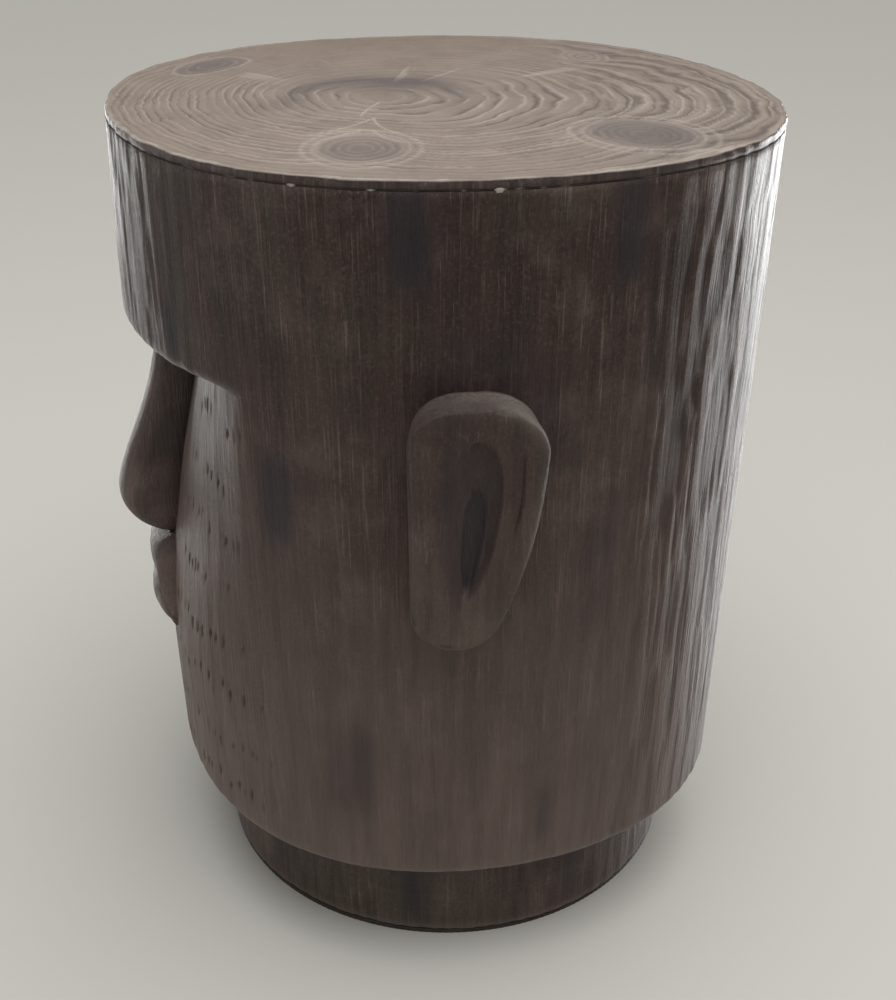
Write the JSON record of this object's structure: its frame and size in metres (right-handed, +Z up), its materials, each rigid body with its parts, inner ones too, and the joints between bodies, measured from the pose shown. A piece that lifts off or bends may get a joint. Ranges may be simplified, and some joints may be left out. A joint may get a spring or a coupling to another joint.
{
  "type": "stylised stone-head drum stool",
  "caption": "Hollow cast stool or side table in the form of a stylised stone head, with an overhanging brow, ears and a wood-grain disc top.",
  "frame": {"origin": "on the drum's axis, at the floor, in the middle of the foot ring's underside", "axes": "+Z up to the top disc, -Y the way the face looks, +X towards the figure's left ear"},
  "size_m": [0.3758, 0.3632, 0.45],
  "materials": {
    "top_grain": "matt painted cement with raised wood-grain rings",
    "seam_filler": "matt cement filler",
    "bark_brown": "matt dark brown painted cement with brushed vertical grain",
    "plinth_brown": "matt dark brown painted cement",
    "foot_rubber": "matt black rubber",
    "scrim": "glass-fibre scrim set in cement slurry"
  },
  "bodies": {
    "root": {"top_slab": "top_grain", "rim_seam": "seam_filler", "head_shell": "bark_brown", "nose": "bark_brown", "upper_lip": "bark_brown", "lower_lip": "bark_brown", "ear_left": "bark_brown", "ear_right": "bark_brown", "plinth": "plinth_brown", "foot_ring": "foot_rubber", "head_mesh": "scrim", "slab_mesh": "scrim", "plinth_mesh": "scrim"}
  },
  "joints": []
}
